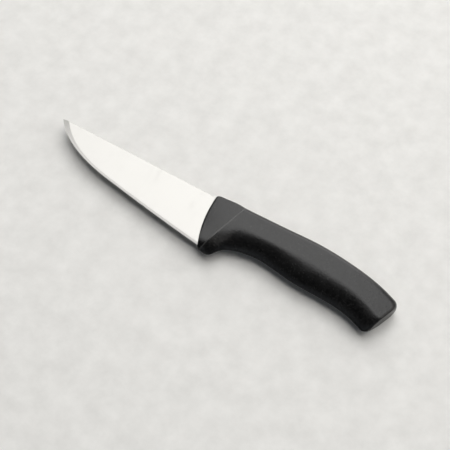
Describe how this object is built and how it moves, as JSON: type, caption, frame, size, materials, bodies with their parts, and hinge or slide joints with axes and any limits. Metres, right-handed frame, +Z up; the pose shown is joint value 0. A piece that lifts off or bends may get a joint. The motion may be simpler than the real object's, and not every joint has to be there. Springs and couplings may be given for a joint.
{
  "type": "meat knife",
  "caption": "Short meat knife with a broad pointed flat-ground steel blade and a black moulded plastic handle with a finger guard, slim flat sides and a hooked butt.",
  "frame": {"origin": "on the flat side of the grip that the knife rests on, near the middle of that flat", "axes": "+X from the tip to the butt, +Y from the edge to the spine, +Z up, square to the blade, with the knife lying on its side"},
  "size_m": [0.2656, 0.0444, 0.0104],
  "materials": {
    "blade_steel": "satin ground flat sides with a fine brighter edge bevel",
    "handle_plastic": "black moulded plastic with a fine matt texture"
  },
  "bodies": {
    "root": {"blade": "blade_steel", "handle": "handle_plastic"}
  },
  "joints": []
}
